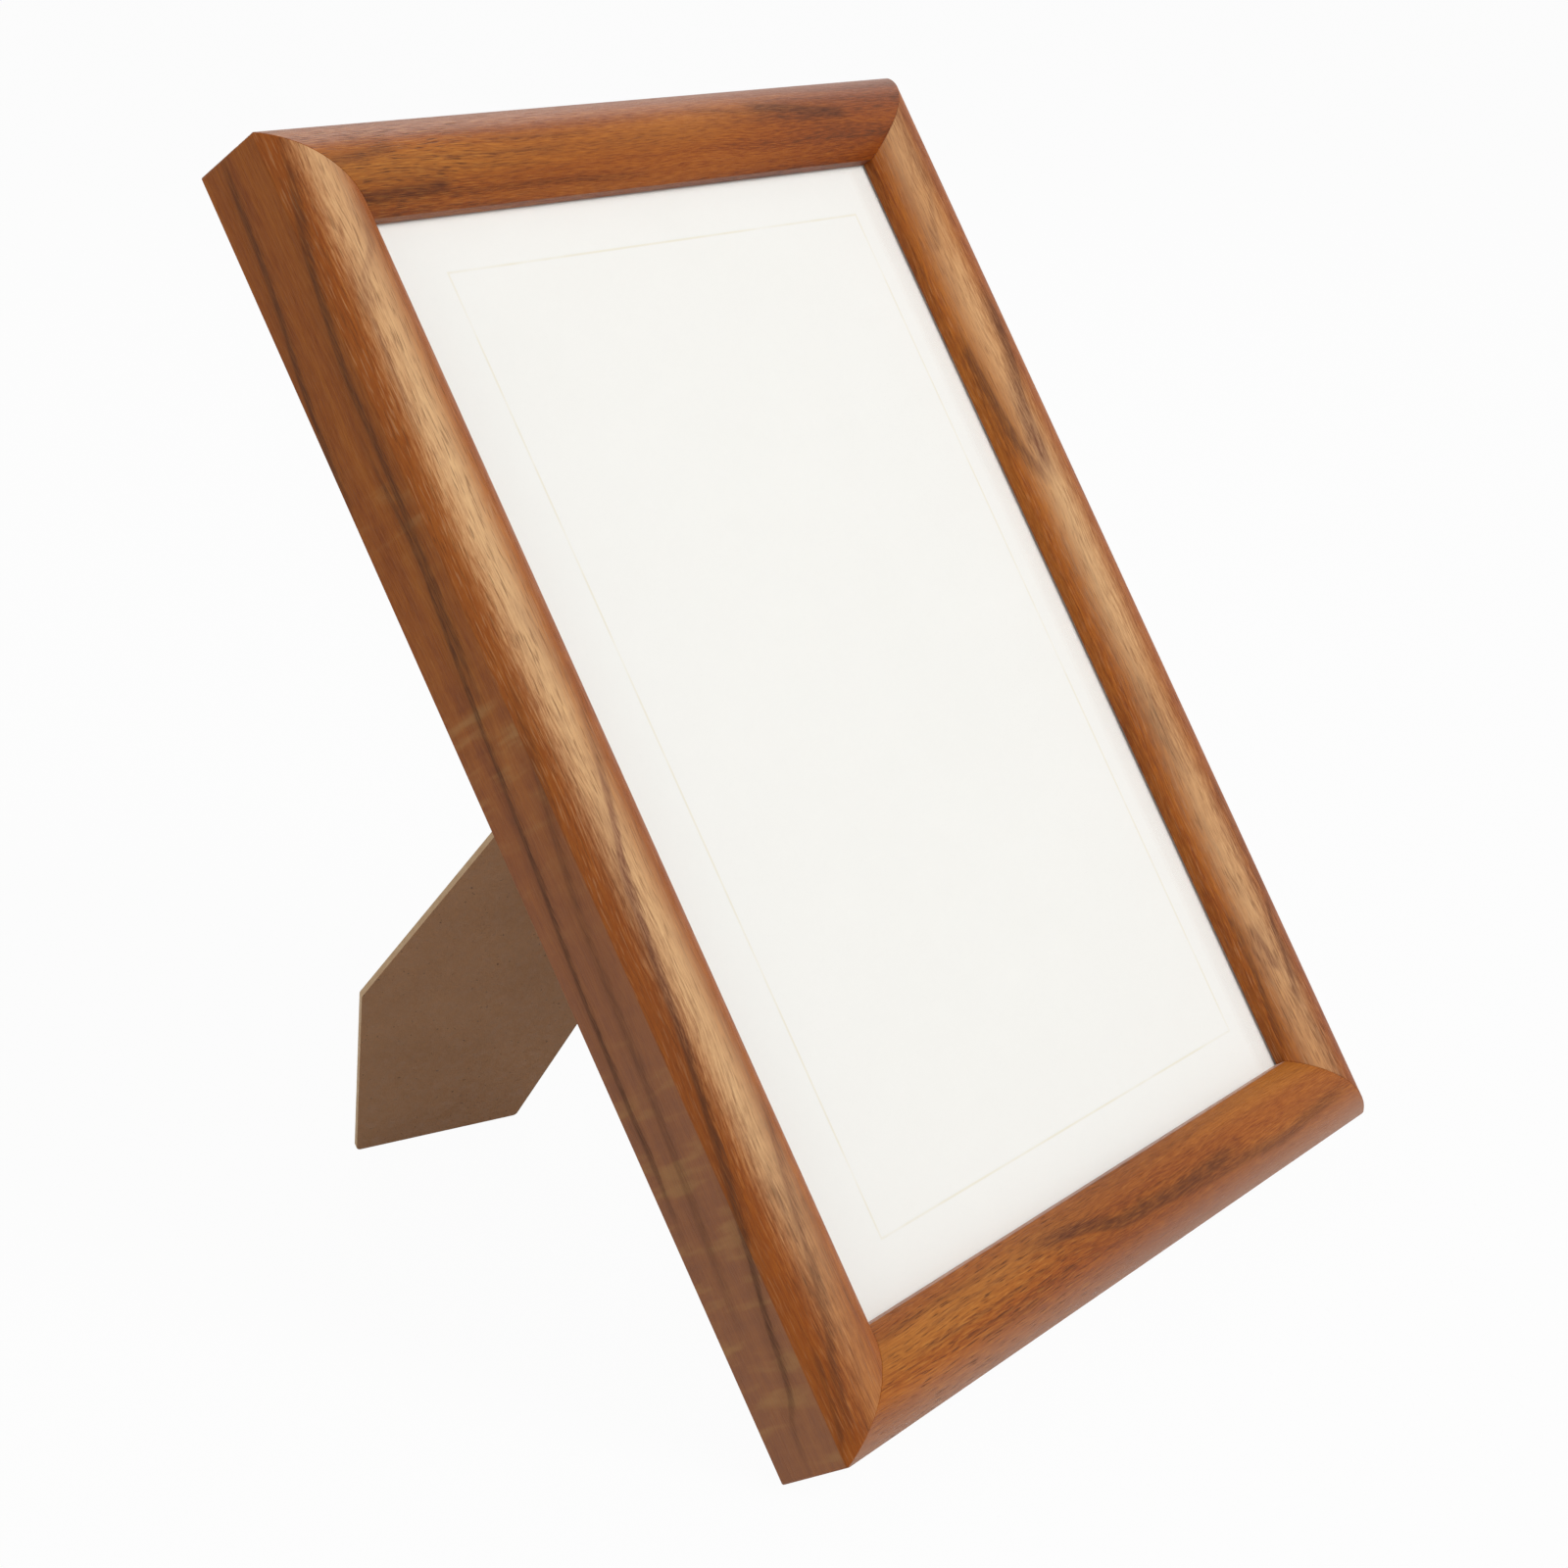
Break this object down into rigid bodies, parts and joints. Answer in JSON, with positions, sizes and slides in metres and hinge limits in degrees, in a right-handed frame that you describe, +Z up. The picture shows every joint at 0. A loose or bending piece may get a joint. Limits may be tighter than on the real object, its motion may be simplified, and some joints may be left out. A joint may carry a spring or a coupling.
{
  "type": "easel back photo frame",
  "caption": "Free-standing picture frame with a domed mitred moulding, a clear pane over a plain sheet and a slanted hinged strut that folds flat against the back.",
  "frame": {"origin": "on the surface that the frame stands on, under the middle of its overall box", "axes": "+X to the right seen from the front, +Y to the rear, +Z up; the frame leans back towards +Y"},
  "size_m": [0.25, 0.2372, 0.3001],
  "materials": {
    "moulding": "satin",
    "pane": "clear",
    "paper": "matt",
    "card": "matt",
    "spacer": "matt",
    "hardboard": "matt",
    "steel": "zinc plated",
    "button": "zinc plated"
  },
  "bodies": {
    "frame": {"left_stile": "moulding", "right_stile": "moulding", "top_rail": "moulding", "bottom_rail": "moulding", "glazing": "pane", "insert_sheet": "paper", "backing_card": "card", "left_spacer": "spacer", "right_spacer": "spacer", "top_spacer": "spacer", "bottom_spacer": "spacer", "backing_board": "hardboard", "hinge_board_leaf": "steel", "hinge_pin": "steel", "board_rivets": "steel", "button_screws": "steel", "corner_v_nails": "steel", "portrait_hanger": "steel", "landscape_hanger": "steel"},
    "strut": {"easel_strut": "hardboard", "hinge_strut_leaf": "steel", "strut_rivets": "steel"},
    "turn_button_1": {"turn_button_1": "button"},
    "turn_button_2": {"turn_button_2": "button"},
    "turn_button_3": {"turn_button_3": "button"},
    "turn_button_4": {"turn_button_4": "button"},
    "turn_button_5": {"turn_button_5": "button"},
    "turn_button_6": {"turn_button_6": "button"},
    "turn_button_7": {"turn_button_7": "button"},
    "turn_button_8": {"turn_button_8": "button"}
  },
  "joints": [
    {"name": "strut_fold", "type": "hinge", "parent": "frame", "child": "strut", "pos_m": [-0.01635, 0.00018, 0.1586], "axis": [-0.9295, 0.19, 0.3162], "range_deg": [0, 64.4]},
    {"name": "turn_button_1_swivel", "type": "hinge", "parent": "frame", "child": "turn_button_1", "pos_m": [-0.1155, -0.05007, 0.07944], "axis": [0, 0.8572, -0.515], "continuous": true},
    {"name": "turn_button_2_swivel", "type": "hinge", "parent": "frame", "child": "turn_button_2", "pos_m": [-0.1155, 0.02804, 0.20943], "axis": [0, 0.8572, -0.515], "continuous": true},
    {"name": "turn_button_3_swivel", "type": "hinge", "parent": "frame", "child": "turn_button_3", "pos_m": [0.1155, 0.02804, 0.20943], "axis": [0, 0.8572, -0.515], "continuous": true},
    {"name": "turn_button_4_swivel", "type": "hinge", "parent": "frame", "child": "turn_button_4", "pos_m": [0.1155, -0.05007, 0.07944], "axis": [0, 0.8572, -0.515], "continuous": true},
    {"name": "turn_button_5_swivel", "type": "hinge", "parent": "frame", "child": "turn_button_5", "pos_m": [0.065, 0.07087, 0.28072], "axis": [0, 0.8572, -0.515], "continuous": true},
    {"name": "turn_button_6_swivel", "type": "hinge", "parent": "frame", "child": "turn_button_6", "pos_m": [-0.065, 0.07087, 0.28072], "axis": [0, 0.8572, -0.515], "continuous": true},
    {"name": "turn_button_7_swivel", "type": "hinge", "parent": "frame", "child": "turn_button_7", "pos_m": [-0.065, -0.09291, 0.00814], "axis": [0, 0.8572, -0.515], "continuous": true},
    {"name": "turn_button_8_swivel", "type": "hinge", "parent": "frame", "child": "turn_button_8", "pos_m": [0.065, -0.09291, 0.00814], "axis": [0, 0.8572, -0.515], "continuous": true}
  ]
}
